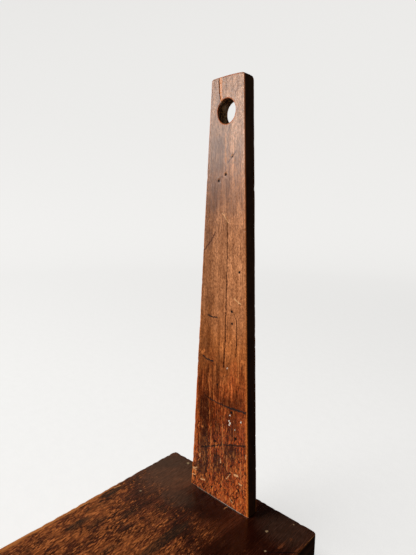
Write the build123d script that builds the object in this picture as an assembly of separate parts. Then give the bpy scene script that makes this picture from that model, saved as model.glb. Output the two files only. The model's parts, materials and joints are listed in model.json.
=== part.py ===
from build123d import *
import os

# Wooden T-square: a tapered blade stands in a deep slab head, held by a wedged and pegged through tenon.
# Frame: origin at the middle of the head's underside, +X along the head, +Y to its rear end, +Z up the blade.
# All sizes are in millimetres.

# Driving dimensions
blade_foot_width = 70.0
blade_tip_width = 33.4
blade_thickness = 12.7
blade_rise = 370.5  # from the head's upper face to the tip
hole_radius = 9.6  # hanging hole
hole_height = 343.4  # hole centre above the head's upper face
head_length = 174.0
head_depth = 200.0
head_height = 32.0
rear_margin = 14.5  # head left behind the blade's rear face

# Blade details
tip_corner_radius = 2.2
blade_edge_radius = 0.8
hole_chamfer = 0.6

# Tenon, kerfs and wedges
tenon_shoulder = 8.0  # each side of the tenon, where it leaves the blade
tenon_spread = 1.5  # how far the wedges push each side out, at the end of the tenon
tenon_recess = 0.5  # the tenon's end is planed this far inside the underside
kerf_offset = 17.0  # kerf's middle from the blade's middle
kerf_width = 1.0
kerf_mouth = 3.0  # kerf's width at the end of the tenon, opened by its wedge
kerf_length = 27.0
wedge_length = 22.0

# Draw pegs, driven in from the head's rear end
peg_radius = 3.175
peg_offset = 8.0
peg_bury = 12.0  # how far a peg goes on past the tenon
peg_chamfer = 0.5
peg_clearance = 1.5  # blind hole left in front of the peg

# Head details
head_corner_radius = 3.0
head_edge_radius = 1.2

# Places worked out from the sizes above
blade_rear_y = head_depth / 2 - rear_margin
blade_mid_y = blade_rear_y - blade_thickness / 2
blade_front_y = blade_rear_y - blade_thickness
tip_z = head_height + blade_rise
hole_z = head_height + hole_height
tenon_half_width = blade_foot_width / 2 - tenon_shoulder
tenon_end_z = tenon_recess
wedge_top_z = tenon_end_z + wedge_length
peg_z = head_height / 2
peg_length = rear_margin + blade_thickness + peg_bury


def board(points, y_middle, thickness):
    """A board whose face has this outline in X and Z, centred on y_middle."""
    face = make_face(Plane.XZ * Polyline(*points, close=True))
    return Pos(0, y_middle, 0) * extrude(face, amount=thickness / 2, both=True)


def rod_along_y(x, z, radius, y_start, y_end):
    """A round rod parallel to Y from y_start to y_end."""
    rod = Cylinder(radius, y_end - y_start)
    return Pos(x, (y_start + y_end) / 2, z) * Rot(90, 0, 0) * rod


def edges_along(shape, axis):
    return shape.edges().filter_by(axis)


def tenon_outline():
    """The tenon's sides, spread towards its end by the wedges."""
    end_half_width = tenon_half_width + tenon_spread
    return [
        (-end_half_width, tenon_end_z),
        (end_half_width, tenon_end_z),
        (tenon_half_width, head_height),
        (-tenon_half_width, head_height),
    ]


def mortise_outline():
    """The tenon's outline, carried straight on to the head's underside."""
    end_left, *rest = tenon_outline()
    return [(end_left[0], 0), (-end_left[0], 0), *rest, end_left]


def wedge_outline(side):
    """A wedge that fills the mouth of its kerf."""
    x = side * kerf_offset
    return [
        (x - kerf_mouth / 2, tenon_end_z),
        (x + kerf_mouth / 2, tenon_end_z),
        (x + kerf_width / 2, wedge_top_z),
        (x - kerf_width / 2, wedge_top_z),
    ]


def kerf_outline(side):
    """The saw kerf: its wedged mouth, then the plain cut above the wedge."""
    x = side * kerf_offset
    return [
        (x - kerf_mouth / 2, tenon_end_z),
        (x + kerf_mouth / 2, tenon_end_z),
        (x + kerf_width / 2, wedge_top_z),
        (x + kerf_width / 2, tenon_end_z + kerf_length),
        (x - kerf_width / 2, tenon_end_z + kerf_length),
        (x - kerf_width / 2, wedge_top_z),
    ]


def peg_hole(side):
    front = blade_front_y - peg_bury - peg_clearance
    return rod_along_y(side * peg_offset, peg_z, peg_radius, front, head_depth / 2)


def make_blade():
    taper = [
        (-blade_foot_width / 2, head_height),
        (blade_foot_width / 2, head_height),
        (blade_tip_width / 2, tip_z),
        (-blade_tip_width / 2, tip_z),
    ]
    blade = board(taper, blade_mid_y, blade_thickness)
    tip_corners = edges_along(blade, Axis.Y).group_by(Axis.Z)[-1]
    blade = fillet(tip_corners, tip_corner_radius)
    foot_face = blade.faces().sort_by(Axis.Z)[0]
    foot_edges = foot_face.edges()
    side_edges = blade.edges().filter_by(lambda e: e not in foot_edges)
    rim = [e for e in side_edges if e.bounding_box().size.Y < blade_thickness / 2]
    blade = fillet(rim, blade_edge_radius)

    hole = rod_along_y(0, hole_z, hole_radius, blade_front_y, blade_rear_y)
    blade -= hole
    hole_rims = blade.edges().filter_by(GeomType.CIRCLE)
    hole_rims = hole_rims.filter_by(lambda e: abs(e.radius - hole_radius) < 0.01)
    blade = chamfer(hole_rims, hole_chamfer)

    blade += board(tenon_outline(), blade_mid_y, blade_thickness)
    for side in (-1, 1):
        blade -= board(kerf_outline(side), blade_mid_y, blade_thickness)
        blade -= peg_hole(side)
    return blade


def make_head():
    head = Pos(0, 0, head_height / 2) * Box(head_length, head_depth, head_height)
    head = fillet(edges_along(head, Axis.Z), head_corner_radius)
    rims = head.edges().group_by(Axis.Z)
    head = fillet(rims[-1] + rims[0], head_edge_radius)
    head -= board(mortise_outline(), blade_mid_y, blade_thickness)
    for side in (-1, 1):
        head -= peg_hole(side)
    return head


def make_wedge(side):
    return board(wedge_outline(side), blade_mid_y, blade_thickness)


def make_peg(side):
    rear = head_depth / 2
    peg = rod_along_y(side * peg_offset, peg_z, peg_radius, rear - peg_length, rear)
    return chamfer(peg.edges().sort_by(Axis.Y)[0], peg_chamfer)


os.makedirs("parts", exist_ok=True)
export_step(make_blade(), "parts/blade.step")
export_step(make_head(), "parts/head.step")
for side, name in ((-1, "left"), (1, "right")):
    export_step(make_wedge(side), f"parts/wedge_{name}.step")
    export_step(make_peg(side), f"parts/peg_{name}.step")
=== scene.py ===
"""The looks of a worn, waxed wooden T-square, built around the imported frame, on a pale studio floor."""

import json
import math
from types import SimpleNamespace

import bpy
import numpy as np
from mathutils import Matrix, Vector, noise


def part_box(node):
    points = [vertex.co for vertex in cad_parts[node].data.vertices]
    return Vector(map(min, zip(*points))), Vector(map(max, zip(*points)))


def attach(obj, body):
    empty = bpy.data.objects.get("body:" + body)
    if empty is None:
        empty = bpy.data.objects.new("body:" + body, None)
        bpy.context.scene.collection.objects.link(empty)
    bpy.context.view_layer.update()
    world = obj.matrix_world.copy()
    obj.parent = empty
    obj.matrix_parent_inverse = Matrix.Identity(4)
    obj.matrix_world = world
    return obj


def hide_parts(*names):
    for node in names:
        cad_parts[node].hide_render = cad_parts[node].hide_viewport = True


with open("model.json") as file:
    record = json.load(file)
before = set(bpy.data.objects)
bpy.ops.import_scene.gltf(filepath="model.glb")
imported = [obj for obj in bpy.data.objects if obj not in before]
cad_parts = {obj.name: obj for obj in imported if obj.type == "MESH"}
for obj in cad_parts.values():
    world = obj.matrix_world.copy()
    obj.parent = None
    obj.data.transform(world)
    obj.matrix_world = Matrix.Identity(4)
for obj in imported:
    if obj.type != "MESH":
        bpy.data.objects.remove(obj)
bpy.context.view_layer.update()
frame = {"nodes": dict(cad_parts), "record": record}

MM = 0.001  # Blender works in metres, and the sizes below are in millimetres

# Places taken from the frame, in millimetres
blade_low, blade_high = (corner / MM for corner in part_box("blade"))
head_low, head_high = (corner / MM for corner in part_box("head"))
wedge_low, wedge_high = (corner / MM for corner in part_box("wedge_right"))
hang_hole = next(m for m in frame["record"]["mounts"] if m["name"] == "hang_hole")
hole_radius = hang_hole["dims"]["r_mm"]
hole_z = hang_hole["pos_m"][2] / MM

head_top = head_high.z
foot_half = blade_high.x
tip_half = foot_half * 0.477  # the blade tapers to this share of its foot
tip_z = blade_high.z
rise = tip_z - head_top
front_y, rear_y = blade_low.y, blade_high.y
half_thick = (rear_y - front_y) / 2
mid_y = (front_y + rear_y) / 2

# The tenon and its kerfs, which are cut as in the CAD blade
tenon_shoulder = 8.0
tenon_half = foot_half - tenon_shoulder
tenon_spread = 1.5
tenon_end = blade_low.z
kerf_middle = (wedge_low.x + wedge_high.x) / 2
kerf_mouth = wedge_high.x - wedge_low.x
kerf_width = 1.0
kerf_past_wedge = 5.0
kerf_top = wedge_high.z + kerf_past_wedge

# Mesh fineness
BLADE_COLUMN_STEP = 1.15
BLADE_ROW_STEP = 0.9
TENON_ROW_STEP = 6.0
BLADE_LAYER_STEP = 1.4
HEAD_STEP = 1.5
HEAD_LAYER_STEP = 2.4
ARRIS_LINES = (0.0, 0.2, 0.5, 0.9)  # how far in from an arris its grid lines are
ARRIS_ZONE = 1.5

random = np.random.default_rng(15)


# -------- mesh tools


def filled(marks, step):
    """The marks in order, with more grid lines between them, no further apart than step."""
    lines = [marks[0]]
    for low, high in zip(marks, marks[1:]):
        cells = max(1, math.ceil((high - low) / step - 1e-6))
        lines += list(np.linspace(low, high, cells + 1)[1:])
    return np.array(lines)


def with_arrises(low, high, step, marks=()):
    """Grid lines from low to high, closer together near both ends."""
    start = [low + offset for offset in ARRIS_LINES]
    end = [high - offset for offset in reversed(ARRIS_LINES)]
    middle = [low + ARRIS_ZONE, *marks, high - ARRIS_ZONE]
    return np.concatenate([start, filled(middle, step), end])


def smooth(value, low, high):
    """0 at low, 1 at high, and a smooth step between."""
    t = np.clip((np.asarray(value, float) - low) / (high - low), 0, 1)
    return t * t * (3 - 2 * t)


def bump(value, centre, reach):
    """1 at the centre, falling smoothly to almost nothing at twice the reach."""
    return np.exp(-(((value - centre) / reach) ** 2))


def cell_middles(columns, rows):
    return np.meshgrid((columns[:-1] + columns[1:]) / 2, (rows[:-1] + rows[1:]) / 2, indexing="ij")


def prism_shell(solid, layers):
    """The closed skin of a plate of grid cells, which is some layers of cells thick.

    solid says which cells of the first two axes hold wood. Returns each point's grid place, and the quads.
    """
    number = {}
    quads = []

    def place(a, b, c):
        return number.setdefault((a, b, c), len(number))

    for a, b in zip(*np.nonzero(solid)):
        ring = [(a, b), (a + 1, b), (a + 1, b + 1), (a, b + 1)]
        quads.append([place(*corner, layers) for corner in ring])
        quads.append([place(*corner, 0) for corner in reversed(ring)])

    padded = np.pad(solid, 1)
    walls = []
    for a, b in zip(*np.nonzero(padded[1:, 1:-1] != padded[:-1, 1:-1])):
        ends = [(a, b), (a, b + 1)]
        walls.append(ends if padded[a, b + 1] else ends[::-1])
    for a, b in zip(*np.nonzero(padded[1:-1, 1:] != padded[1:-1, :-1])):
        ends = [(a + 1, b), (a, b)]
        walls.append(ends if padded[a + 1, b] else ends[::-1])
    for one, two in walls:
        for c in range(layers):
            quads.append([place(*one, c), place(*two, c), place(*two, c + 1), place(*one, c + 1)])
    return np.array(list(number)), quads


def round_pair(first, second, first_limit, second_limit, radius):
    """Rounds the arris where two coordinates both come near their limits."""
    over_first = np.abs(first) - (first_limit - radius)
    over_second = np.abs(second) - (second_limit - radius)
    both = (over_first > 0) & (over_second > 0)
    reach = np.maximum(np.hypot(over_first, over_second), 1e-9)
    shrink = np.maximum(over_first, over_second) / reach
    new_first = np.sign(first) * (first_limit - radius + over_first * shrink)
    new_second = np.sign(second) * (second_limit - radius + over_second * shrink)
    return np.where(both, new_first, first), np.where(both, new_second, second)


def waves(points, size, octaves=3, seed=0):
    """Smooth noise of about -1 to 1, with features about this size on each axis."""
    scaled = points / np.array(size, float) + seed
    return np.array([noise.fractal(p, 1, 2, octaves) for p in scaled])


def add_object(name, data):
    made = bpy.data.objects.new(name, data)
    bpy.context.scene.collection.objects.link(made)
    return made


def mesh_object(name, points, quads):
    mesh = bpy.data.meshes.new(name)
    mesh.from_pydata((points * MM).tolist(), [], quads)
    mesh.shade_smooth()
    return add_object(name, mesh)


def normals_of(made):
    values = np.empty(len(made.data.vertices) * 3, np.float32)
    made.data.vertex_normals.foreach_get("vector", values)
    return values.reshape(-1, 3).astype(float)


def move_points(made, points):
    made.data.vertices.foreach_set("co", (points * MM).astype(np.float32).ravel())
    made.data.update()


def paint(made, name, values):
    """Stores a value from 0 to 1 on each point, for the materials."""
    layer = made.data.attributes.new(name, "FLOAT", "POINT")
    layer.data.foreach_set("value", np.clip(values, 0, 1).astype(np.float32))


def stroke_marks(across, along, count, area, length, width, lean):
    """Short curved dents scattered over an area of a face: how strongly each point is marked.

    area is (low, high) across and along, and lean is how far in degrees a stroke leans from the grain.
    """
    marked = np.zeros_like(across)
    (low_a, high_a), (low_b, high_b) = area
    for _ in range(count):
        middle_a, middle_b = random.uniform(low_a, high_a), random.uniform(low_b, high_b)
        turn = math.radians(random.normal(0, lean))
        half_length = random.uniform(*length) / 2
        half_width = random.uniform(*width) / 2
        bend = random.normal(0, 0.06)
        strength = random.uniform(0.35, 1)
        a, b = across - middle_a, along - middle_b
        near = (np.abs(a) < half_length + 2) & (np.abs(b) < half_length + 2)
        a, b = a[near], b[near]
        run = a * math.sin(turn) + b * math.cos(turn)
        side = a * math.cos(turn) - b * math.sin(turn) - bend * run * run
        hit = bump(side, 0, half_width) * (1 - smooth(np.abs(run), half_length * 0.6, half_length))
        marked[near] = np.maximum(marked[near], strength * hit)
    return marked


def blots(across, along, centres):
    """Soft tall blots on a face, each (across, along, half width, half height, strength)."""
    found = np.zeros_like(across)
    for a, b, half_width, half_height, strength in centres:
        gap = np.hypot((across - a) / half_width, (along - b) / half_height)
        found = np.maximum(found, strength * (1 - smooth(gap, 0.45, 1.25)))
    return found


# -------- blade mesh

# Cracks along the grain: points (x, height above the head) from the top down
SPLIT = ((-9, 369), (-7.6, 353))
LONG_CRACK = ((3.2, 257), (4.2, 224), (4, 155), (3, 130))
SHORT_CRACK = ((13.4, 178.5), (16.2, 172.5), (16.7, 158), (16.4, 143))

# Each crack with its grid column at the foot, and the half width of each groove there
SPLIT_COLUMN = -12.4
CRACKS = ((SPLIT, SPLIT_COLUMN), (LONG_CRACK, 4.7), (SHORT_CRACK, 19.9))
GROOVE = 0.4

# The hole is a square of open grid cells, pulled round. The grid follows it to this many times its size.
HOLE_PULL = 1.75
HOLE_OVAL, HOLE_SHIFT = 0.955, -0.45  # the worn hole is a little narrow, and left of the middle
hole_side = kerf_middle - kerf_width / 2  # half the square's width at the foot, where it is between the kerfs
inner_half = foot_half - ARRIS_ZONE

# Small holes in the front: (x, height above the head, radius)
PITS = (
    (0.4, 294, 0.9),
    (6.9, 307.9, 0.7),
    (-7.1, 289.2, 0.8),
    (17.3, 215.3, 0.9),
    (10.4, 180.9, 1),
    (11, 170.6, 0.9),
    (-4.2, 111.8, 0.7),
    (12.9, 91, 1),
    (-5.1, 56.9, 0.9),
    (18.4, 68.4, 1.1),
)

# Soft blots on the front: (x, height above the head, half width, half height, strength)
DARK_STAINS = (
    (-19, 84, 7.5, 22, 0.7),
    (-18.5, 52, 6.5, 26, 0.8),
    (-18, 30, 6, 14, 0.75),
    (-24, 22, 9, 8, 0.85),
    (-15.5, 14, 4, 6, 0.5),
    (-1.5, 36, 7, 12, 0.65),
    (13.5, 53, 9, 10, 0.7),
    (9, 28, 4, 9, 0.45),
    (20, 104, 8, 9, 0.5),
    (8, 97, 14, 7, 0.55),
    (14, 72, 6, 6, 0.45),
    (-20, 118, 7, 14, 0.3),
    (-18, 146, 5, 14, 0.4),
)
RUBBED_PATCHES = (
    (-9.6, 10, 3, 16, 1),
    (-9.4, 46, 2.4, 34, 0.6),
    (1, 8, 12, 12, 0.9),
    (14, 14, 12, 18, 0.8),
    (22, 34, 9, 16, 0.65),
    (28.5, 24, 5, 34, 0.75),
    (-30, 62, 3.4, 52, 0.85),
    (-29, 104, 2.4, 18, 0.6),
    (-26, 6, 9, 6, 0.6),
    (29, 78, 2.6, 22, 0.6),
    (16, 126, 9, 20, 0.45),
)
GREY_STAINS = (
    (-8.1, 317, 5, 8, 0.8),
    (-7.2, 303, 4, 9, 0.8),
    (-7.4, 287, 3.5, 9, 0.7),
    (-12, 276, 7, 16, 0.75),
    (2, 282, 5, 12, 0.45),
    (8, 275, 5, 9, 0.5),
    (-13.5, 316, 3, 12, 0.6),
    (9, 266, 7, 6, 0.5),
    (-16.5, 240, 5, 10, 0.5),
    (-14.5, 314, 4.5, 24, 0.5),
    (-15.5, 280, 4, 16, 0.35),
    (13.5, 308, 5, 26, 0.42),
    (15.5, 272, 4, 16, 0.3),
)


def half_width_at(z):
    """Half the blade's width at this height. It stays the foot's width below the shoulders."""
    return np.interp(z, [head_top, tip_z], [foot_half, tip_half])


hole_square = hole_side / inner_half * (half_width_at(hole_z) - ARRIS_ZONE)


def path_at(path, z):
    """x of a crack at this height."""
    xs, heights = zip(*reversed(path))
    return np.interp(z - head_top, heights, xs)


def inside_path(path, z, fade):
    """1 at the heights that a crack covers, fading out past its ends."""
    high, low = path[0][1] + head_top, path[-1][1] + head_top
    return smooth(z, low - fade, low) * (1 - smooth(z, high, high + fade))


def tenon_x(x, z):
    """Spreads the tenon's columns, so that its sides and kerfs have their widths at this height."""
    down = np.clip((head_top - z) / (head_top - tenon_end), 0, 1)
    side = tenon_half + tenon_spread * down
    open_kerf = np.clip((wedge_high.z - z) / (wedge_high.z - tenon_end), 0, 1)
    half_kerf = (kerf_width + (kerf_mouth - kerf_width) * open_kerf) / 2
    size = np.abs(x)
    inner, outer = kerf_middle - kerf_width / 2, kerf_middle + kerf_width / 2
    new_inner, new_outer = kerf_middle - half_kerf, kerf_middle + half_kerf
    spread = np.where(
        size <= inner,
        size * new_inner / inner,
        np.where(
            size <= outer,
            new_inner + (size - inner) * (new_outer - new_inner) / kerf_width,
            new_outer + (size - outer) * (side - new_outer) / (tenon_half - outer),
        ),
    )
    return np.sign(x) * spread


def blade_grid():
    """The column, z and y of each point of a square-edged board with its openings, and the quads."""
    grooves = [column + gap for _, column in CRACKS for gap in (-GROOVE, 0, GROOVE)]
    sides = [hole_side, kerf_middle + kerf_width / 2, tenon_half]
    marks = sorted([*grooves, *sides, *(-side for side in sides)])
    columns = with_arrises(-foot_half, foot_half, BLADE_COLUMN_STEP, marks)
    below = filled([tenon_end, wedge_high.z, kerf_top, head_top], TENON_ROW_STEP)[:-1]
    above = with_arrises(head_top, tip_z, BLADE_ROW_STEP, [hole_z - hole_square, hole_z + hole_square])
    rows = np.concatenate([below, above])
    layers = with_arrises(-half_thick, half_thick, BLADE_LAYER_STEP)

    a, b = cell_middles(columns, rows)
    outside_tenon = (b < head_top) & (np.abs(a) > tenon_half)
    in_kerf = (b < kerf_top) & (np.abs(np.abs(a) - kerf_middle) < kerf_width / 2)
    in_hole = (np.abs(b - hole_z) < hole_square) & (np.abs(a) < hole_side)
    grid, quads = prism_shell(~(outside_tenon | in_kerf | in_hole), len(layers) - 1)
    # the grid's axes are x, z and y, so its quads face inwards and are turned
    quads = [quad[::-1] for quad in quads]
    return columns[grid[:, 0]], rows[grid[:, 1]], layers[grid[:, 2]], quads


def tapered(column, z, half):
    """Each point's x on the tapered board, where cracks bend columns, and its gap to the board's side."""
    inner = np.clip(column, -inner_half, inner_half)
    x = inner / inner_half * (half - ARRIS_ZONE) + (column - inner)
    x = np.where(z >= head_top, x, tenon_x(x, z))
    edge_gap = np.where(np.abs(column) > inner_half, foot_half - np.abs(column), half - np.abs(x))
    for path, crack_column in CRACKS:
        straight = crack_column / inner_half * (half - ARRIS_ZONE)
        shift = (path_at(path, z) - straight) * inside_path(path, z, 16.0)
        x = x + np.where(z >= head_top, shift * bump(x, straight, 4.5), 0)
    return x, edge_gap


def drilled(column, x, y, z):
    """x and z with the square of open cells pulled into the round hole, which has a worn rim.

    Returns each point's angle round the hole too, and its distance from the middle, which is 1 in the wall.
    """
    rim = 0.7
    depth = half_thick - np.abs(y)
    s, t = column / hole_side, (z - hole_z) / hole_square
    reach = np.maximum(np.hypot(s, t), 1e-9)
    around = np.arctan2(t, s)
    circle = np.stack([np.cos(around), 0.1 * y, np.sin(around)], axis=1)
    ragged = waves(circle, (0.22, 1, 0.22), seed=4.0)
    rounding = 1 - np.sqrt(1 - np.clip(1 - depth / rim, 0, 1) ** 2)
    flare = (0.35 + 0.45 * bump(around, 2.4, 0.5)) * (1 + 0.7 * ragged) * rounding
    ring = np.maximum(np.abs(s), np.abs(t))
    weight = 1 - smooth(ring, 1.0, HOLE_PULL)
    radius = ring * (hole_radius + flare)
    near_hole = ring < HOLE_PULL
    hole_x = HOLE_OVAL * radius * s / reach + HOLE_SHIFT
    x = np.where(near_hole, x * (1 - weight) + weight * hole_x, x)
    z = np.where(near_hole, z * (1 - weight) + weight * (hole_z + radius * t / reach), z)
    return x, z, around, ring


def blade_rounded(x, y, z, half, low_down, in_board, in_wall):
    """x, y and height above the head with worn arrises and a rounded, crowned tip, and the crown."""
    no_limit = 1e6
    tip_wear = np.where(y > 0, 4.4, 0.8)
    corner = np.where(x > 0, 2.0, 1.8)
    foot_wear = 0.35
    points = np.stack([x, y + mid_y, z], axis=1)
    worn = 0.7 + 0.3 * waves(points, (9, 9, 26), seed=3.0) + 0.3 * low_down
    board_half = np.where(in_board, half, no_limit)
    x, y = round_pair(x, y, board_half, half_thick, np.maximum(worn, 0.35))
    height, y = round_pair(z - head_top, y, np.where(in_wall, no_limit, rise), half_thick, tip_wear)
    x, height = round_pair(x, height, board_half, rise, corner)
    from_tip, y = round_pair(rise - height, y, np.where(in_board, rise, no_limit), half_thick, foot_wear)
    height = rise - from_tip
    crown = np.where(x > 5, 0.5 * ((x - 5) / 11) ** 2, 0.8 * ((x - 5) / 21) ** 2)
    return x, y, height - crown * smooth(height, rise - 9, rise), crown


def cracked(column, points, height, on_front, on_rear, in_wall):
    """How far each crack's middle column is cut into the wood, as vectors, and how dark each point is."""
    dark = np.zeros(len(points))
    cut = np.zeros_like(points)
    for (path, crack_column), fade in zip(CRACKS[1:], (4.0, 2.5)):
        line = (np.abs(column - crack_column) < 1e-6) & on_front
        strength = inside_path(path, points[:, 2], fade) * (0.75 + 0.25 * waves(points, (5, 5, 12), seed=8.0))
        cut[:, 1] += np.where(line, 0.7 * strength, 0)
        dark = np.maximum(dark, np.where(line, 0.4 * strength, 0))

    in_split = (np.abs(column - SPLIT_COLUMN) < 1e-6) & (height > SPLIT[-1][1] - 1.5)
    cut[:, 1] += np.where(in_split & on_front, 4.5, 0) - np.where(in_split & on_rear, 4.0, 0)
    cut[:, 2] -= np.where(in_split & (height > rise - 1.2), 3.5, 0)
    cut[:, 2] += np.where(in_split & in_wall, 1.2, 0)
    return cut, np.maximum(dark, np.where(in_split, 1.0, 0))


def blade_dents(x, height, on_front, on_rear):
    """Dents, close together at the front's foot, and the small holes in the front."""
    low_marks = stroke_marks(x, height, 420, ((-35, 35), (0, 55)), (2.5, 7), (0.7, 1.3), 30)
    high_marks = stroke_marks(x, height, 200, ((-35, 35), (50, 190)), (4, 16), (0.7, 1.2), 10)
    rear_marks = stroke_marks(x, height, 360, ((-35, 35), (0, 369)), (4, 15), (0.8, 1.4), 14)
    scuff = np.where(on_front, np.maximum(low_marks, 0.6 * high_marks), 0)
    scuff = np.maximum(scuff, np.where(on_rear, 0.6 * rear_marks, 0))
    pits = np.zeros(len(x))
    for pit_x, pit_height, pit_radius in PITS:
        gap = np.hypot(x - pit_x, (height - pit_height) * 0.7)
        pits = np.maximum(pits, np.where(on_front, bump(gap, 0, pit_radius), 0))
    return scuff, pits


def blade_chips(x, y, height, edge_gap, depth):
    """Chips out of the long arrises, most of them low down, on the left and on the front."""
    chips = np.zeros(len(x))
    from_arris = np.hypot(edge_gap, depth)
    for _ in range(110):
        side = -1 if random.random() < 0.6 else 1
        face = -1 if random.random() < 0.6 else 1
        chip_height = random.uniform(1, 215) if random.random() < 0.75 else random.uniform(5, 365)
        chip_length, chip_depth = random.uniform(0.6, 3.0), random.uniform(0.08, 0.32)
        at_edge = (np.sign(x) == side) & (np.sign(y) == face) & (edge_gap < 2.0)
        bite = chip_depth * bump(height, chip_height, chip_length) * bump(from_arris, 0, 1.3)
        chips = np.maximum(chips, np.where(at_edge, bite, 0))
    return chips


def make_blade():
    column, z, y, quads = blade_grid()
    in_board = z >= head_top
    half = half_width_at(z)
    depth = half_thick - np.abs(y)  # in from the nearer face
    x, edge_gap = tapered(column, z, half)
    x, z, around, ring = drilled(column, x, y, z)
    in_wall = ring < 1 + 1e-6
    low_down = 1 - smooth(z - head_top, 40, 230)
    x, y, height, crown = blade_rounded(x, y, z, half, low_down, in_board, in_wall)
    points = np.stack([x, y + mid_y, head_top + height], axis=1)

    made = mesh_object("worn_blade", points, quads)
    out = normals_of(made)
    on_front = (y < -half_thick + 0.6) & in_board
    on_rear = (y > half_thick - 0.6) & in_board
    cut, dark = cracked(column, points, height, on_front, on_rear, in_wall)
    scuff, pits = blade_dents(x, height, on_front, on_rear)
    dark = np.maximum(dark, 0.5 * pits)
    chips = np.where(in_board, blade_chips(x, y, height, edge_gap, depth), 0)
    swell = 0.10 * waves(points, (30, 30, 90), 2, seed=1.0) - 0.10
    ripple = 0.02 * waves(points, (2.5, 6, 30), 3, seed=5.0)
    inset = np.where(in_board, swell + ripple, 0) - 0.12 * scuff - 0.4 * pits - chips
    move_points(made, points + out * inset[:, None] + cut)

    # how bare each arris is: wide on the right of the front, and down the lower left
    front_reach = np.where(x > 0, 0.7 + 1.3 * low_down, 0.5 + 0.9 * low_down)
    arris_reach = np.where(y < 0, front_reach, 0.6)
    beside = np.where(depth < 0.95, bump(edge_gap, 0, arris_reach), 0)
    behind = np.where(edge_gap < 0.6, bump(depth, 0, 0.5), 0) * np.where(x > 0, 0.6, 1.0)
    top_band = np.where((y < 0) & (depth < 0.95), bump(rise - height, 0, 1.2), 0)
    bare = np.where(in_board & ~in_wall, np.maximum.reduce([beside, behind, top_band]), 0)
    rim_wear = np.where((ring < HOLE_PULL) & (depth < 1.0), 1 - smooth(ring, 1.0, 1.16), 0)
    right_of_split = (column > SPLIT_COLUMN + 0.1) & (column < SPLIT_COLUMN + 3.2)
    split_flank = right_of_split & on_front & (height > SPLIT[-1][1] - 1)
    paint(made, "wear", np.maximum.reduce([bare, 2.6 * chips, 0.4 * split_flank, 0.8 * rim_wear]))

    # the sides' dark colour, partly from staining and partly painted shade, and what is pale: a painted
    # highlight along the front's foot and two flecks in the hole's wall
    on_side = (edge_gap < 0.3) | (rise - height < 0.3 + crown)
    stain_and_shade_low, stain_and_shade_high = np.where(x > 0, 0.1, 0.4), np.where(x > 0, 0.55, 1.2)
    stain_and_shade = np.where(on_side & in_board & ~in_wall, smooth(depth, stain_and_shade_low, stain_and_shade_high), 0)
    # a painted highlight along the front arris at the foot, brighter to the right
    pale = np.where(on_front & (height < 0.5), 0.4 + 0.35 * smooth(x, -8, 8), 0)
    fleck = bump(around, 2.6, 0.24) * bump(y, 7.2 - half_thick, 2.2)
    fleck = np.maximum(fleck, bump(around, 2.35, 0.16) * bump(y, 1.4 - half_thick, 1.4))
    pale = np.maximum(pale, np.where(in_wall, fleck, 0))
    paint(made, "scuff", scuff)
    paint(made, "dark", np.maximum(dark, np.where(in_wall, 0.55 * smooth(depth, 0.3, 1.5), 0)))
    paint(made, "stain_and_shade", stain_and_shade)
    paint(made, "pale", pale)
    for name, centres in (("blot", DARK_STAINS), ("haze", GREY_STAINS), ("rubbed", RUBBED_PATCHES)):
        paint(made, name, np.where(on_front, blots(x, height, centres), 0))
    return made


# -------- head mesh

# Painted shade on the top, darkest before the blade's foot, where it stands for the blade's dark reflection
# too, and on the right, as (x, y from the blade's front, half width, half length, strength)
SLAB_PAINTED_SHADE = (
    (-2, -10, 34, 26, 1),
    (18, -34, 26, 26, 0.6),
    (60, -25, 44, 80, 0.95),
    (40, -120, 40, 60, 0.5),
)
# Painted sheen on the top: a grey veil where the wax would mirror the pale wall, with the same columns
SLAB_PAINTED_SHEEN = ((-62, 2, 36, 42, 1), (-32, -24, 20, 14, 0.8), (66, 14, 30, 22, 0.5))
SLAB_SOOT = (
    (0, -66, 6, 32, 1),
    (-80, -62, 4.5, 15, 1),
    (-66, -106, 5, 16, 0.8),
    (-58, -92, 5, 12, 0.5),
    (-46, -68, 4, 18, 0.5),
    (-74, -86, 4, 12, 0.5),
    (-30, -44, 12, 5, 0.5),
    (-24, -104, 5, 12, 0.5),
    (-73, -72, 10, 14, 0.4),
)


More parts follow.
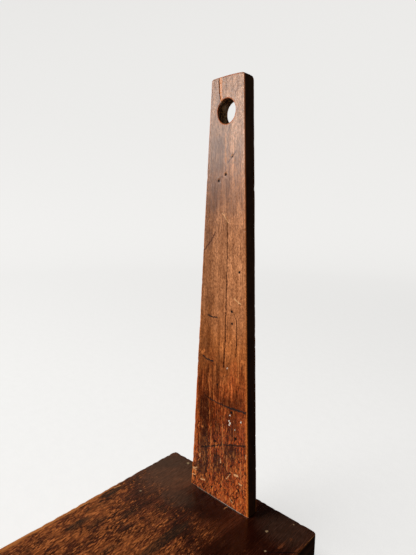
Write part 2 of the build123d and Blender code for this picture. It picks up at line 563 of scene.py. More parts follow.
def make_head():
    gap = 0.15  # dark joint line round the tenon
    half_x, half_y = head_high.x, head_high.y
    mortise_x = tenon_half + gap
    mortise_y = (front_y - gap, rear_y + gap)
    columns = with_arrises(-half_x, half_x, HEAD_STEP, [-mortise_x, mortise_x])
    rows = with_arrises(-half_y, half_y, HEAD_STEP, list(mortise_y))
    middle_z = (head_high.z + head_low.z) / 2
    half_z = head_high.z - middle_z
    layers = with_arrises(-half_z, half_z, HEAD_LAYER_STEP)

    a, b = cell_middles(columns, rows)
    in_mortise = (np.abs(a) < mortise_x) & (b > mortise_y[0]) & (b < mortise_y[1])
    grid, quads = prism_shell(~in_mortise, len(layers) - 1)
    x, y, z = columns[grid[:, 0]], rows[grid[:, 1]], layers[grid[:, 2]]

    # the mortise flares towards the underside
    down = (half_z - z) / (2 * half_z)
    x = x + np.sign(x) * tenon_spread * down * bump(np.abs(x), mortise_x, 8)

    lattice = np.stack([x, y, z + middle_z], axis=1)
    edge_x, edge_y = half_x - np.abs(x), half_y - np.abs(y)
    from_face = half_z - np.abs(z)
    top_left = (x < 0) & (z > 0)  # the long arris that hands and sleeves rub
    rubbed = np.where(top_left, 1 - smooth(y, -50, 78), 0)
    worn = 1.1 + 0.45 * waves(lattice * (1, 1, 0.3), (14, 14, 14), 2, seed=2.0) + 0.8 * rubbed
    worn = np.maximum(worn, 0.5)
    x, z = round_pair(x, z, half_x, half_z, worn)
    y, z = round_pair(y, z, half_y, half_z, np.minimum(worn, 1.6))
    x, y = round_pair(x, y, half_x, half_y, 3.4)
    points = np.stack([x, y, z + middle_z], axis=1)

    made = mesh_object("worn_head", points, quads)
    out = normals_of(made)
    on_top = lattice[:, 2] > head_top - 0.05

    scuff = stroke_marks(x, y, 700, ((-87, 87), (-100, 100)), (4, 16), (1.0, 2.0), 10)
    scuff = np.where(on_top, scuff, 0)
    chips = np.zeros(len(points))
    arris_gap = {True: np.hypot(edge_x, from_face), False: np.hypot(edge_y, from_face)}
    for _ in range(130):
        along_y = random.random() < 0.6
        side = -1 if random.random() < 0.65 else 1
        middle = random.uniform(-half_y, half_y) if along_y else random.uniform(-half_x, half_x)
        chip_length, chip_depth = random.uniform(0.9, 3.0), random.uniform(0.15, 0.6)
        here, there = lattice[:, 1 if along_y else 0], lattice[:, 0 if along_y else 1]
        bite = chip_depth * bump(here, middle, chip_length) * bump(arris_gap[along_y], 0, 1.8)
        chips = np.maximum(chips, np.where(np.sign(there) == side, bite, 0))

    swell = 0.15 * waves(points, (70, 110, 60), 2, seed=11.0) - 0.16
    ripple = 0.02 * waves(points, (5, 40, 5), 2, seed=6.0)
    in_walls = (np.abs(x) < mortise_x + 3) & (y > mortise_y[0] - 0.1) & (y < mortise_y[1] + 0.1)
    inset = np.where(in_walls, 0, swell + ripple) - 0.10 * scuff - chips
    points = points + out * inset[:, None]
    points[:, 2] = np.clip(points[:, 2], head_low.z, head_high.z)
    move_points(made, points)

    nearest = np.minimum(edge_x, edge_y)
    bare = 0.55 * bump(np.hypot(nearest, from_face), 0, 1.0)
    from_arris = np.hypot(edge_x, 0.6 * from_face)
    rubbed_band = rubbed * (1 - smooth(from_arris, 1.4 + 1.6 * rubbed, 4.0 + 2.4 * rubbed))
    on_side = (nearest < 0.3) | (half_z + lattice[:, 2] - middle_z < 0.3)
    paint(made, "wear", np.maximum.reduce([bare, rubbed_band, 1.6 * chips]))
    paint(made, "scuff", scuff)
    paint(made, "dark", np.where(in_walls, 0.8, 0))
    # the sides' darker colour is partly from staining and partly painted shade
    paint(made, "stain_and_shade", np.where(on_side, smooth(from_face, 0.4, 1.2), 0))
    for name, centres in (("deep", SLAB_PAINTED_SHADE), ("haze", SLAB_PAINTED_SHEEN), ("soot", SLAB_SOOT)):
        paint(made, name, np.where(on_top, blots(x, y - front_y, centres), 0))
    return made


# -------- material tools


def rgb(red, green, blue):
    """A colour as the screen shows it, from 0 to 255, as the linear values that shaders use."""
    shares = (value / 255 for value in (red, green, blue))
    return (*(s / 12.92 if s <= 0.04045 else ((s + 0.055) / 1.055) ** 2.4 for s in shares), 1.0)


class Graph:
    """A material's node tree, built one node at a time. Sizes are in millimetres."""

    def __init__(self, name):
        self.material = bpy.data.materials.new(name)
        self.material.use_nodes = True
        self.tree = self.material.node_tree
        self.tree.nodes.clear()
        metres = self.add("TexCoord").outputs["Object"]
        scale = (1 / MM, 1 / MM, 1 / MM)
        self.place = self.add("Mapping", {"Vector": metres, "Scale": scale}).outputs[0]
        self.axes = self.add("SeparateXYZ", {0: self.place}).outputs

    def add(self, kind, inputs=(), **settings):
        made = self.tree.nodes.new("ShaderNode" + kind)
        for key, value in settings.items():
            setattr(made, key, value)
        for key, value in dict(inputs).items():
            if isinstance(value, bpy.types.NodeSocket):
                self.tree.links.new(value, made.inputs[key])
            else:
                made.inputs[key].default_value = value
        return made

    def noise(self, size, detail=4.0, roughness=0.55, distortion=0.0, turn=(0, 0, 0), shift=(0, 0, 0)):
        """Noise with features of this size on each axis, after a turn in degrees about each axis."""
        angles = tuple(math.radians(angle) for angle in turn)
        turned = self.add("Mapping", {"Vector": self.place, "Rotation": angles}).outputs[0]
        scale = tuple(1 / s for s in size)
        scaled = self.add("Mapping", {"Vector": turned, "Scale": scale, "Location": shift}).outputs[0]
        values = {"Detail": detail, "Roughness": roughness, "Distortion": distortion}
        return self.add("TexNoise", {"Vector": scaled, "Scale": 1.0, **values}).outputs["Fac"]

    def levels(self, value, low, high, to_low=0.0, to_high=1.0):
        """A smooth step, from to_low at low to to_high at high."""
        span = {"From Min": low, "From Max": high, "To Min": to_low, "To Max": to_high}
        step = self.add("MapRange", {"Value": value, **span}, interpolation_type="SMOOTHSTEP", clamp=False)
        return step.outputs["Result"]

    def math(self, operation, first, second=0.0):
        return self.add("Math", {0: first, 1: second}, operation=operation).outputs[0]

    def chain(self, operation, values):
        """The values, joined one after the other."""
        total, *others = values
        for value in others:
            total = self.math(operation, total, value)
        return total

    def total(self, *values):
        return self.chain("ADD", values)

    def product(self, *values):
        return self.chain("MULTIPLY", values)

    def most(self, *values):
        return self.chain("MAXIMUM", values)

    def swing(self, noise, *amounts):
        """How far a noise is from its middle, times the amounts."""
        return self.product(self.math("SUBTRACT", noise, 0.5), *amounts)

    def mix(self, share, first, second, blend="MIX"):
        factor, colour_a, colour_b, colour_out = 0, 6, 7, 2  # the node's sockets, by number
        values = {factor: share, colour_a: first, colour_b: second}
        return self.add("Mix", values, data_type="RGBA", blend_type=blend).outputs[colour_out]

    def over(self, colour, ink, *masks):
        """The colour, with an ink over it as far as all the masks let it."""
        return self.mix(self.product(*masks), colour, ink)

    def tinted(self, colour, value, low, high, darkest, lightest, warmth=0.15):
        """The colour times a shade, which goes from darkest at low to lightest at high.

        Warmth is how much redder the colour is where it is darker.
        """
        powers = (1.0, 1.0 + warmth, 1.0 + 2 * warmth)
        dark, light = ((*(shade**power for power in powers), 1.0) for shade in (darkest, lightest))
        return self.mix(1.0, colour, self.mix(self.levels(value, low, high), dark, light), "MULTIPLY")

    def ramp(self, value, stops):
        made = self.add("ValToRGB", {"Fac": value})
        elements = made.color_ramp.elements
        while len(elements) < len(stops):
            elements.new(0.5)
        for element, (position, colour) in zip(elements, stops):
            element.position = position
            element.color = colour
        return made.outputs["Color"]

    def attribute(self, name):
        return self.add("Attribute", attribute_name=name).outputs["Fac"]

    def vector(self, operation, first, second, output=0):
        return self.add("VectorMath", {0: first, 1: second}, operation=operation).outputs[output]

    def flat_place(self, across, along, origin, shake=0.6, size=2.8):
        """A point's place on a face, as a vector (across, along, 0), shaken at random by about this much."""
        places = []
        for axis, shift in ((across, 0.0), (along, 40.0)):
            wave = self.swing(self.noise((size,) * 3, 1.0, shift=(shift, 0, 0)), 4 * shake)
            places.append(self.total(self.axes[axis], wave))
        values = {"X": places[0], "Y": self.math("SUBTRACT", places[1], origin)}
        return self.add("CombineXYZ", values).outputs[0]

    def stroke(self, place, points, width):
        """1 on a line through these points of a face, with soft sides, and 0 elsewhere."""
        nearest = None
        for start, end in zip(points, points[1:]):
            run = (end[0] - start[0], end[1] - start[1], 0.0)
            share = 1 / (run[0] ** 2 + run[1] ** 2)
            offset = self.vector("SUBTRACT", place, (*start, 0.0))
            reach = self.vector("DOT_PRODUCT", offset, run, "Value")
            part = self.add("Clamp", {0: self.product(reach, share)}).outputs[0]
            reached = self.add("VectorMath", {0: run, "Scale": part}, operation="SCALE").outputs[0]
            gap = self.vector("DISTANCE", offset, reached, "Value")
            nearest = gap if nearest is None else self.math("MINIMUM", nearest, gap)
        return self.levels(nearest, 0.25 * width, 0.75 * width, 1.0, 0.0)

    def strokes(self, place, lines):
        """1 on any of these lines, each (width, point, point, ...)."""
        return self.most(*(self.stroke(place, points, width) for width, *points in lines))

    def spots(self, place, centres):
        """1 inside round spots, each (across, along, radius)."""
        found = []
        for a, b, radius in centres:
            gap = self.vector("DISTANCE", place, (a, b, 0.0), "Value")
            found.append(self.levels(gap, 0.6 * radius, 1.3 * radius, 1.0, 0.0))
        return self.most(*found)

    def finish(self, colour, roughness, relief, relief_size, specular=0.5):
        lift = {"Strength": 1.0, "Distance": relief_size * MM, "Height": relief}
        normal = self.add("Bump", lift).outputs[0]
        values = {"Base Color": colour, "Roughness": roughness, "Specular IOR Level": specular}
        surface = self.add("BsdfPrincipled", {**values, "Normal": normal})
        self.add("OutputMaterial", {"Surface": surface.outputs[0]})
        return self.material


def along(axis, across_size, along_size):
    """Sizes on the three axes of a feature that runs along the grain."""
    return tuple(along_size if i == axis else across_size for i in range(3))


# -------- materials

# Marks on the blade's front, each with its width and then its points (x, height above the head)
INK_LINES = (
    (1.2, (-12, 95.4), (0, 94.6), (9, 94.6)),
    (1.9, (9, 94.6), (18, 95.2), (28.5, 96.2)),
    (1.4, (-16, 173.4), (-11.5, 172.6), (-5.8, 172.9)),
    (1.5, (-21.2, 134.2), (-17, 132.2), (-9.5, 132.2)),
)
PENCIL_LINES = (
    (1.6, (-21, 44.4), (-9, 50.4)),
    (1.7, (3, 56.5), (16, 61.3), (29, 65.8)),
    (0.9, (-9, 50.4), (3, 56.5)),
    (0.9, (-19, 97.2), (-12, 95.6)),
    (0.8, (19.2, 70.4), (17.6, 66.6)),
    (0.9, (12.4, 92.6), (13.4, 88.8)),
)
DARK_SCRATCHES = (
    (0.9, (-9.5, 247), (-14.5, 239), (-22.6, 230.6)),
    (0.9, (10.3, 311.7), (7, 307.8), (2.5, 303.6)),
    (0.5, (-0.8, 303), (0.6, 296)),
    (0.95, *LONG_CRACK),
    (0.9, *SHORT_CRACK),
    (1.1, *SPLIT),
)
LIGHT_SCRATCHES = (
    (0.8, (-2.2, 263), (4.4, 255.2)),
    (0.8, (12.5, 193), (15.6, 190.6)),
    (1.2, (16.2, 190.4), (19.6, 189)),
    (2, (18.4, 34), (21.8, 34.3)),
    (1.4, (23.8, 27.8), (26.2, 27.4)),
    (0.6, (9.2, 25.4), (11.5, 29), (14, 32.4)),
    (1, (1.5, 42.2), (1.7, 38)),
    (1.1, (-33, 17.6), (-27.5, 20.2)),
    (0.8, (-32.2, 16.2), (-28.6, 17.8)),
    (1.3, (-22.5, 10.6), (-17.5, 11.8)),
    (1, (-34, 10.4), (-30, 11.4)),
    (0.9, (-24.2, 36), (-24.1, 33.2)),
    (0.9, (14.5, 8.4), (16.8, 5.6)),
    (1, (30.1, 58), (30.1, 54.6)),
)
FAINT_SCRATCHES = (
    (0.8, (-1, 327), (0.2, 302)),
    (1.1, (3.2, 76), (3.6, 60.5), (5, 49.3)),
    (1.2, (9.2, 48), (9.7, 34)),
    (1, (-26.5, 205), (-25.5, 165)),
    (0.7, (-13.5, 112), (-12.5, 98)),
    (0.9, (-10.4, 66), (-10.8, 26)),
    (1, (-29.8, 60), (-29.4, 42)),
    (1, (18.5, 150), (19.8, 122)),
    (1.2, (25, 48), (26.2, 22)),
    (0.9, (-24.5, 58), (-24, 38)),
)
SPLIT_FLANK = (2.5, (-7.2, 371), (-6.7, 360), (-6, 352))
# Specks on the front, as (x, height above the head, radius)
WHITE_SPECKS = (
    (6.8, 130, 0.7),
    (11.3, 87.6, 0.8),
    (10.6, 82.2, 0.9),
    (11.9, 80.6, 1),
    (11, 78.8, 0.9),
    (23.9, 86, 0.8),
    (17.4, 76.5, 0.5),
)
ORANGE_SPECKS = (
    (-21.6, 65.2, 1.4),
    (-26, 64.5, 1.1),
    (14.1, 34.6, 1.2),
    (-19.5, 12.2, 1.3),
    (-22.8, 137.3, 1.8),
    (-20.4, 139.5, 1.5),
    (23.4, 140, 1.6),
    (-29, 90, 1.2),
)
# The blade's colour up its height, as (height above the head, colour). It is partly the wood's own tone and
# partly painted sheen, which makes the top paler and greyer
BLADE_TONES = (
    (6, rgb(166, 66, 20)),
    (28, rgb(132, 49, 15)),
    (82, rgb(140, 57, 21)),
    (112, rgb(150, 70, 30)),
    (146, rgb(180, 101, 50)),
    (182, rgb(188, 116, 70)),
    (222, rgb(194, 124, 78)),
    (286, rgb(178, 116, 76)),
    (318, rgb(182, 129, 94)),
    (369, rgb(183, 129, 93)),
)


def blade_noises(g):
    """The noises in the blade's colour and relief. Its grain runs up Z."""
    up = 2
    return SimpleNamespace(
        streaks=g.noise(along(up, 4.5, 150), 6, 0.62, 0.4),
        fibres=g.noise(along(up, 1.1, 30), 4, 0.65, shift=(7, 3, 1)),
        fine=g.noise(along(up, 0.6, 9), 3, 0.6),
        pores=g.noise(along(up, 0.5, 5), 1, 0.5, shift=(2, 8, 5)),
        cloud=g.noise((16, 16, 34), 5, 0.62, 0.4),
        mottle=g.noise((6, 6, 15), 3, 0.65, 0.4, shift=(9, 1, 3)),
        grit=g.noise((0.9, 0.9, 1.4), 2, 0.6),
        speckle=g.noise((1.4, 1.4, 2.2), 3, 0.7, shift=(6, 2, 4)),
        upright=g.noise(along(up, 1.2, 9), 3, 0.6, turn=(0, 5, 0), shift=(1, 6, 2)),
        leaning=g.noise(along(up, 1.4, 6.5), 3, 0.6, turn=(0, 28, 0), shift=(3, 1, 7)),
        falling=g.noise(along(up, 1.4, 6.5), 3, 0.6, turn=(0, -32, 0), shift=(5, 9, 4)),
    )


def blade_wood(g, n, height):
    """The wood's colour, by height and across, with streaks and fibres, and the share of the height."""
    wander = g.swing(n.cloud, 60.0)
    share = g.math("DIVIDE", g.total(height, wander), rise)
    # partly painted sheen: the ramp is paler and greyer towards the top
    colour = g.ramp(share, [(h / rise, tone) for h, tone in BLADE_TONES])
    across = g.total(g.axes["X"], g.product(wander, 0.25))
    colour = g.tinted(colour, across, -24, 26, 0.64, 1.24, 0.05)
    banding = g.levels(height, 90, 165, 0.85, 0.42)
    contrast = g.most(g.levels(height, 90, 165, 0.95, 0.22), g.levels(height, 250, 330, 0.22, 0.36))
    dapple = g.levels(height, 60, 150, 1.3, 0.62)
    for pattern, amount, darkest, lightest in (
        (n.streaks, banding, 0.6, 1.36),
        (n.mottle, banding, 0.66, 1.3),
        (n.fibres, contrast, 0.55, 1.42),
        (n.fine, contrast, 0.58, 1.42),
        (n.speckle, dapple, 0.55, 1.42),
    ):
        colour = g.tinted(colour, g.swing(pattern, amount), -0.14, 0.14, darkest, lightest)
    return colour, share


def blade_stains(g, n, height, ragged, colour):
    """The colour with stains, rubbed patches and pores, and a mask of the placed stains."""
    blot = g.product(g.levels(n.cloud, 0.52, 0.68), g.levels(height, 110, 200, 0.5, 0.1))
    placed = g.levels(g.total(g.attribute("blot"), g.product(ragged, 0.35)), 0.1, 0.85)
    colour = g.over(colour, rgb(50, 19, 9), g.most(blot, placed), 0.85)
    rubbed = g.levels(g.total(g.attribute("rubbed"), g.product(ragged, 0.8)), 0.25, 0.75)
    orange = g.ramp(n.fine, [(0.36, rgb(148, 56, 22)), (0.64, rgb(218, 106, 48))])
    colour = g.over(colour, orange, rubbed, 0.7)
    dots = g.levels(g.noise((1.5, 1.5, 2.0), 1, 0.5, shift=(2, 2, 9)), 0.57, 0.64)
    colour = g.over(colour, rgb(72, 27, 12), dots, g.levels(height, 30, 90, 0.75, 0.2))
    haze = g.product(g.attribute("haze"), g.levels(n.speckle, 0.35, 0.6, 0.5, 1.0), 0.8)
    colour = g.over(colour, rgb(88, 62, 52), haze)
    pores = g.product(g.levels(n.pores, 0.56, 0.68), g.levels(height, 90, 165, 0.6, 0.22))
    colour = g.over(colour, rgb(58, 26, 14), pores)
    bright = g.product(g.levels(n.grit, 0.60, 0.72), g.levels(height, 180, 280, 0.3, 0.6))
    return g.over(colour, rgb(214, 156, 112), bright), placed


def blade_strokes(g, n, height, placed, colour):
    """The colour with strokes of bare wood, steep everywhere and slanting low down, and their mask."""
    limit = g.levels(height, 0, 75, 0.56, 0.61)
    steep = g.math("SUBTRACT", n.upright, limit)
    slanted = g.math("SUBTRACT", g.most(n.leaning, n.falling), g.total(limit, 0.055))
    strokes = g.levels(g.most(steep, slanted), 0.0, 0.035)
    kept = g.product(g.levels(n.cloud, 0.36, 0.56, 1.0, 0.45), g.levels(placed, 0.1, 0.7, 1.0, 0.25))
    strokes = g.product(strokes, kept, g.levels(height, 60, 180, 1.0, 0.15))
    bare_wood = g.ramp(n.fine, [(0.35, rgb(204, 92, 32)), (0.65, rgb(255, 166, 88))])
    colour = g.over(colour, bare_wood, strokes, 0.9)
    dents = g.product(g.attribute("scuff"), g.levels(n.fine, 0.4, 0.6), 0.5)
    colour = g.over(colour, bare_wood, dents)
    gouges = g.levels(g.math("MINIMUM", n.leaning, n.falling), 0.40, 0.44, 1.0, 0.0)
    return g.over(colour, rgb(40, 14, 6), gouges, g.levels(height, 30, 120, 0.95, 0.15)), strokes


def blade_marks(g, n, front, colour):
    """The colour with the marks drawn, scratched and splashed on the front, and a mask of its small holes."""
    place = g.flat_place("X", "Z", head_top)
    for lines, strength, ink, noise_used, low, high, least in (
        (PENCIL_LINES, 0.92, rgb(32, 17, 12), n.grit, 0.3, 0.45, 0.6),
        (INK_LINES, 0.95, rgb(34, 32, 32), n.grit, 0.3, 0.45, 0.6),
        (DARK_SCRATCHES, 0.9, rgb(58, 22, 15), n.grit, 0.3, 0.45, 0.7),
        (FAINT_SCRATCHES, 0.5, rgb(224, 140, 78), n.grit, 0.36, 0.5, 0.35),
        (LIGHT_SCRATCHES, 0.8, rgb(240, 184, 130), n.grit, 0.36, 0.5, 0.35),
        ((SPLIT_FLANK,), 0.85, rgb(216, 134, 72), n.fine, 0.3, 0.5, 0.7),
    ):
        broken = g.levels(noise_used, low, high, least, 1.0)
        colour = g.over(colour, ink, g.strokes(place, lines), front, broken, strength)
    ragged = g.flat_place("X", "Z", head_top, 0.9, 1.1)
    for centres, strength, ink in (
        (ORANGE_SPECKS, 0.6, rgb(226, 134, 72)),
        (WHITE_SPECKS, 0.95, rgb(244, 236, 218)),
    ):
        colour = g.over(colour, ink, g.spots(ragged, centres), front, strength)
    steady = g.flat_place("X", "Z", head_top, 0.2)
    holes = g.product(g.spots(steady, [(x, up, 1.35 * radius) for x, up, radius in PITS]), front)
    return g.over(colour, rgb(20, 9, 7), holes), holes


def blade_material():
    g = Graph("blade_wood")
    n = blade_noises(g)
    front = g.levels(g.axes["Y"], front_y + 0.6, front_y + 1.6, 1.0, 0.0)
    height = g.math("SUBTRACT", g.axes["Z"], head_top)
    ragged = g.total(g.swing(n.fibres), g.swing(n.speckle))
    colour, share = blade_wood(g, n, height)
    colour, placed = blade_stains(g, n, height, ragged, colour)
    colour, strokes = blade_strokes(g, n, height, placed, colour)

    # worn arrises
    wear = g.attribute("wear")
    bare = g.levels(g.total(wear, g.product(ragged, 0.9)), 0.28, 0.66)
    arris = g.ramp(share, [(0.0, rgb(226, 120, 48)), (0.45, rgb(214, 122, 60)), (1.0, rgb(178, 100, 62))])
    colour = g.over(colour, arris, bare, g.levels(n.grit, 0.34, 0.56, 0.55, 0.95))
    colour, holes = blade_marks(g, n, front, colour)

    # the sides are nearly black, partly from staining and partly from painted shade, and grooves, joints and
    # holes are dark
    stain_and_shade = g.attribute("stain_and_shade")
    # the sides' dark tone, partly staining and partly painted shade
    side_tone = g.ramp(n.cloud, [(0.35, rgb(26, 15, 10)), (0.65, rgb(62, 40, 24))])
    colour = g.over(colour, side_tone, stain_and_shade, g.levels(wear, 0.5, 0.9, 1.0, 0.0), 0.95)
    wall_tones = [(0.42, rgb(22, 15, 9)), (0.51, rgb(104, 86, 54)), (0.60, rgb(206, 182, 134))]
    hollow = g.mix(front, g.ramp(n.speckle, wall_tones), rgb(24, 12, 9))
    colour = g.over(colour, hollow, g.levels(g.attribute("dark"), 0.12, 0.7), 0.93)
    # pale: the painted highlight along the foot, and the pale flecks in the hole's wall
    pale = g.product(g.attribute("pale"), g.levels(n.grit, 0.3, 0.5, 0.3, 1.0))
    colour = g.over(colour, rgb(230, 216, 198), pale)

    rough = g.levels(g.total(n.fibres, g.product(strokes, 0.2)), 0.3, 0.9, 0.22, 0.4)
    rough = g.most(rough, g.product(stain_and_shade, 0.62), g.product(holes, 0.75))
    lows = g.most(g.levels(n.pores, 0.58, 0.75, 0.0, 0.5), g.product(strokes, 0.4))
    relief = g.math("SUBTRACT", g.total(g.product(n.fibres, 0.9), g.product(n.fine, 0.5)), lows)
    return g.finish(colour, rough, relief, 0.07)


# Specks on the head's top, as (x, y from the blade's front, radius), and lines with their width first
SLAB_SPECKS = (
    (55.6, -0.6, 1.2),
    (68, 21.8, 0.9),
    (66.3, -19, 1),
    (-60.4, 21.1, 1.3),
    (-61.4, -41.4, 1.2),
)
SLAB_LINES = ((0.9, (67.5, -19.2), (88, -0.4)),)
SLAB_RUBS = ((3, (72, -8), (74.5, 6)), (3, (84, -14), (86, 12)))
SLAB_SPLINTERS = ((0.8, (11.6, -5.6), (12.8, 2.2)), (1.2, (-83, -56.4), (-81.7, -50.4)))


def top_of_head(g):
    """1 on the head's top, 0 below it."""
    return g.levels(g.axes["Z"], head_top - 1.2, head_top - 0.4)


def worn_dabs(g, fine, cloud, colour):
    """The colour with short dabs of bare wood along the grain, thick on the worn part and thin at the rear.

    Returns masks of the dabs and of the worn part too.
    """
    along_y = 1
    worn_side = g.total(g.product(g.axes["X"], 0.12), g.axes["Y"])
    worn_part = g.levels(worn_side, -18, 67, 1.0, 0.0)
    spread = g.total(g.product(worn_part, 0.115), g.swing(cloud, 0.35), -0.60)
    wide = g.noise(along(along_y, 1.1, 4.8), 4, 0.72, 0.1, turn=(0, 0, -8), shift=(1, 6, 2))
    narrow = g.noise(along(along_y, 0.75, 3.0), 3, 0.65, 0.1, turn=(0, 0, -12), shift=(8, 2, 5))
    patch = g.noise(along(along_y, 5.0, 14), 3, 0.6, 0.6, shift=(4, 4, 9))
    over = g.total(g.product(wide, 0.55), g.product(narrow, 0.45), spread, g.swing(patch, 0.3))
    few_in_dark = g.levels(g.attribute("deep"), 0.2, 1.0, 1.0, 0.45)
    thin = g.product(g.levels(worn_part, 0.02, 0.3, 0.1, 1.0), few_in_dark)
    dab = g.product(g.levels(over, 0.0, 0.035), thin, top_of_head(g))
    bare_wood = g.ramp(fine, [(0.38, rgb(116, 56, 24)), (0.62, rgb(208, 120, 60))])
    colour = g.over(colour, bare_wood, dab, 0.85)
    gaps = g.noise(along(along_y, 1.0, 5.5), 2, 0.5, turn=(0, 0, -9), shift=(5, 5, 2))
    gaps = g.swing(gaps, g.levels(worn_part, 0.0, 0.5, 0.25, 1.0))
    return g.tinted(colour, gaps, -0.1, 0.1, 0.52, 1.32), dab, worn_part


def head_marks(g, fine, colour):
    """The colour with the lines, splinters, rubs and specks on the head's top."""
    place = g.flat_place("X", "Y", front_y)
    top = top_of_head(g)
    flecks = g.product(g.strokes(place, SLAB_RUBS), g.levels(fine, 0.42, 0.58))
    for mask, strength, ink in (
        (flecks, 0.5, rgb(140, 74, 38)),
        (g.strokes(place, SLAB_LINES), 0.85, rgb(14, 10, 10)),
        (g.strokes(place, SLAB_SPLINTERS), 0.9, rgb(206, 140, 84)),
        (g.spots(place, SLAB_SPECKS), 0.8, rgb(170, 142, 106)),
    ):
        colour = g.over(colour, ink, mask, top, strength)
    return colour


def head_material():
    g = Graph("head_wood")
    along_y = 1
    streaks = g.noise(along(along_y, 5.0, 130), 6, 0.62, 0.5)
    fibres = g.noise(along(along_y, 1.1, 26), 4, 0.65, shift=(7, 3, 1))
    fine = g.noise(along(along_y, 0.7, 8), 3, 0.6)
    cloud = g.noise((30, 46, 30), 5, 0.62, 0.5, shift=(3, 1, 2))

    colour = g.ramp(cloud, [(0.36, rgb(60, 24, 12)), (0.50, rgb(80, 34, 16)), (0.64, rgb(108, 54, 28))])
    # painted shade, and the blade's painted reflection before its foot
    colour = g.over(colour, rgb(40, 12, 5), g.attribute("deep"))
    calm = g.levels(g.axes["Y"], 10, 60, 1.0, 0.5)
    for pattern in (streaks, fibres):
        colour = g.tinted(colour, g.swing(pattern, calm), -0.14, 0.14, 0.6, 1.36)
    # painted sheen: a grey veil over the top where the wax would mirror the pale wall
    colour = g.over(colour, rgb(86, 63, 48), g.attribute("haze"), 0.6)
    colour, dab, worn_part = worn_dabs(g, fine, cloud, colour)
    ragged = g.total(g.swing(fibres), g.swing(fine))
    soot = g.levels(g.total(g.attribute("soot"), g.product(ragged, 0.7)), 0.2, 0.8)
    colour = g.over(colour, rgb(38, 27, 19), soot, 0.75)
    dents = g.product(g.attribute("scuff"), g.levels(fine, 0.42, 0.62), worn_part)
    colour = g.over(colour, rgb(186, 112, 62), dents, 0.4)

    wear = g.attribute("wear")
    bare = g.levels(g.total(wear, g.swing(fibres, 0.7)), 0.30, 0.66)
    band = g.ramp(fibres, [(0.34, rgb(138, 76, 36)), (0.52, rgb(186, 114, 58)), (0.68, rgb(214, 144, 84))])
    colour = g.over(colour, band, bare, 0.9)
    colour = head_marks(g, fine, colour)

    # the sides are darker, partly from staining and partly from painted shade
    stain_and_shade = g.attribute("stain_and_shade")
    layers = g.noise((70, 130, 2.6), 4, 0.62, 0.3, turn=(0, 5, 0), shift=(2, 7, 3))
    side_tone = g.ramp(layers, [(0.36, rgb(24, 14, 9)), (0.64, rgb(78, 47, 28))])
    side_tone = g.tinted(side_tone, fine, 0.36, 0.64, 0.7, 1.3)
    colour = g.over(colour, side_tone, stain_and_shade, g.levels(wear, 0.4, 0.8, 0.95, 0.0))
    colour = g.over(colour, rgb(14, 8, 6), g.attribute("dark"), 0.9)

    rough = g.levels(g.total(fibres, g.product(dab, 0.4)), 0.3, 0.95, 0.15, 0.42)
    rough = g.most(rough, g.product(stain_and_shade, 0.6))
    relief = g.total(g.product(fibres, 0.9), g.product(fine, 0.5))
    relief = g.math("SUBTRACT", relief, g.product(dab, 0.4))
    return g.finish(colour, rough, relief, 0.07, specular=0.38)


def fixing_material(name, grain, light, deep):
    """Hardwood of a wedge or a peg, with its grain along one axis."""
    g = Graph(name)
    streaks = g.noise(along(grain, 1.1, 22), 5, 0.6, 0.3)
    rings = g.noise((1.6, 1.6, 1.6), 3, 0.6, 1.2)
    colour = g.ramp(streaks, [(0.3, deep), (0.7, light)])
    colour = g.over(colour, deep, g.levels(rings, 0.5, 0.7, 0.0, 0.5))
    return g.finish(colour, g.levels(streaks, 0.3, 0.7, 0.45, 0.65), streaks, 0.08)


# -------- pieces

blade = make_blade()
blade.data.materials.append(blade_material())
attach(blade, "root")
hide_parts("blade")

head = make_head()
head.data.materials.append(head_material())
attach(head, "root")
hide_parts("head")

wedge_wood = fixing_material("wedge_wood", 2, rgb(158, 104, 58), rgb(92, 54, 28))
peg_wood = fixing_material("peg_wood", 1, rgb(140, 88, 48), rgb(70, 40, 22))
for side in ("left", "right"):
    frame["nodes"][f"wedge_{side}"].data.materials[0] = wedge_wood
    frame["nodes"][f"peg_{side}"].data.materials[0] = peg_wood


# -------- studio


def make_room():
    """A pale floor that curves up into a round wall, evenly lit from behind as a light tent is."""
    floor_radius, cove, wall_top, steps, turns = 1.7, 0.9, 3.2, 12, 96
    profile = [(0.0, 0.0), (0.5, 0.0), (1.1, 0.0)]
    for i in range(steps + 1):
        angle = math.pi / 2 * i / steps
        profile.append((floor_radius + cove * math.sin(angle), cove * (1 - math.cos(angle))))
    profile.append((floor_radius + cove, wall_top))
    points = []
    for radius, height in profile:
        for i in range(turns):
            angle = 2 * math.pi * i / turns
            points.append((radius * math.cos(angle), radius * math.sin(angle), height))
    quads = []
    for ring in range(len(profile) - 1):
        for i in range(turns):
            j = (i + 1) % turns
            low, high = ring * turns, (ring + 1) * turns
            quads.append([low + i, high + i, high + j, low + j])
    room = mesh_object("room", np.array(points) / MM, quads)
    room.visible_diffuse = False
    room.visible_glossy = False
    g = Graph("room_paint")
    plaster = g.noise((14, 14, 14), 5, 0.6)
    colour = g.ramp(plaster, [(0.3, rgb(226, 225, 223)), (0.7, rgb(232, 231, 229))])
    material = g.finish(colour, 0.9, plaster, 0.8)
    surface = g.tree.nodes["Principled BSDF"]
    surface.inputs["Emission Color"].default_value = rgb(242, 241, 239)
    distance = g.vector("LENGTH", g.place, (0, 0, 0), "Value")
    glow = g.levels(distance, 500, 2400, 0.70, 0.86)
    g.tree.links.new(glow, surface.inputs["Emission Strength"])
    material.cycles.emission_sampling = "NONE"
    room.data.materials.append(material)
    return room


def soft_light(name, place, target, size, power, colour=(1, 1, 1), in_gloss=True):
    """A soft box, unseen by the camera, which faces the target."""
    lamp = bpy.data.lights.new(name, "AREA")
    lamp.shape = "RECTANGLE"
    lamp.size, lamp.size_y = size
    lamp.energy = power
    lamp.color = colour
    made = add_object(name, lamp)
    made.location = place
    made.rotation_euler = (Vector(target) - Vector(place)).to_track_quat("-Z", "Y").to_euler()
    made.visible_camera = False
    made.visible_glossy = in_gloss
    return made


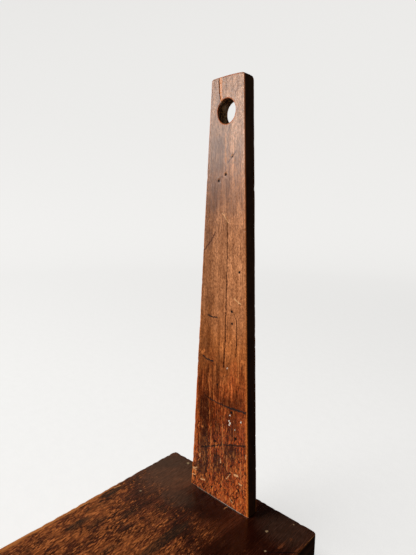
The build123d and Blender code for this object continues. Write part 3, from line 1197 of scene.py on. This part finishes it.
def link(lamp, room, state):
    """Keeps a lamp's light off the room, or lets it light nothing but the room."""
    receivers = bpy.data.collections.new(lamp.name + "_receivers")
    receivers.objects.link(room)
    receivers.collection_objects[0].light_linking.link_state = state
    lamp.light_linking.receiver_collection = receivers


def make_camera():
    """Stands in front of the blade and to its right, just below the tip, looking a little down."""
    foot_width = 2 * foot_half
    place = Vector((3.294, front_y / foot_width - 3.865, head_top / foot_width + 3.822)) * foot_width * MM
    heading, down, roll = math.radians(42.49), math.radians(9.39), math.radians(0.973)
    camera = bpy.data.cameras.new("camera")
    camera.lens = 27.55
    camera.sensor_width = 36.0
    camera.clip_start = 0.01
    made = add_object("camera", camera)
    turn = Matrix.Rotation(heading, 3, "Z") @ Matrix.Rotation(math.pi / 2 - down, 3, "X")
    made.rotation_euler = (turn @ Matrix.Rotation(roll, 3, "Z")).to_euler()
    made.location = place
    bpy.context.scene.camera = made


room = make_room()
make_camera()
middle = (0, mid_y * MM, (head_top + rise / 2) * MM)
key_place = (-1.25, -1.35, 1.0)
window_place = (-1.25, -1.35, 0.78)
warm = (1.0, 0.985, 0.965)
lamps = (
    soft_light("window", window_place, middle, (1.1, 0.66), 11, warm),
    soft_light("key", key_place, middle, (1.1, 1.4), 48, warm, in_gloss=False),
    soft_light("rear_panel", (-1.87, 1.0, 1.0), middle, (1.3, 1.4), 1.5, (1.0, 0.84, 0.62)),
    soft_light("rear_fill", (-0.4, 1.7, 1.1), middle, (1.4, 1.0), 9, in_gloss=False),
    soft_light("right_fill", (1.8, 0.3, 0.7), middle, (1.2, 1.0), 4.5, in_gloss=False),
)
for lamp in lamps:
    link(lamp, room, "EXCLUDE")
overhead = soft_light("overhead", (-0.6, -0.6, 2.0), (0, 0, 0), (1.2, 1.2), 19, in_gloss=False)
link(overhead, room, "INCLUDE")

world = bpy.data.worlds.new("studio")
world.use_nodes = True
world.node_tree.nodes["Background"].inputs["Color"].default_value = (0.95, 0.97, 1.0, 1.0)
world.node_tree.nodes["Background"].inputs["Strength"].default_value = 0.012
bpy.context.scene.world = world
bpy.context.scene.view_settings.view_transform = "Standard"
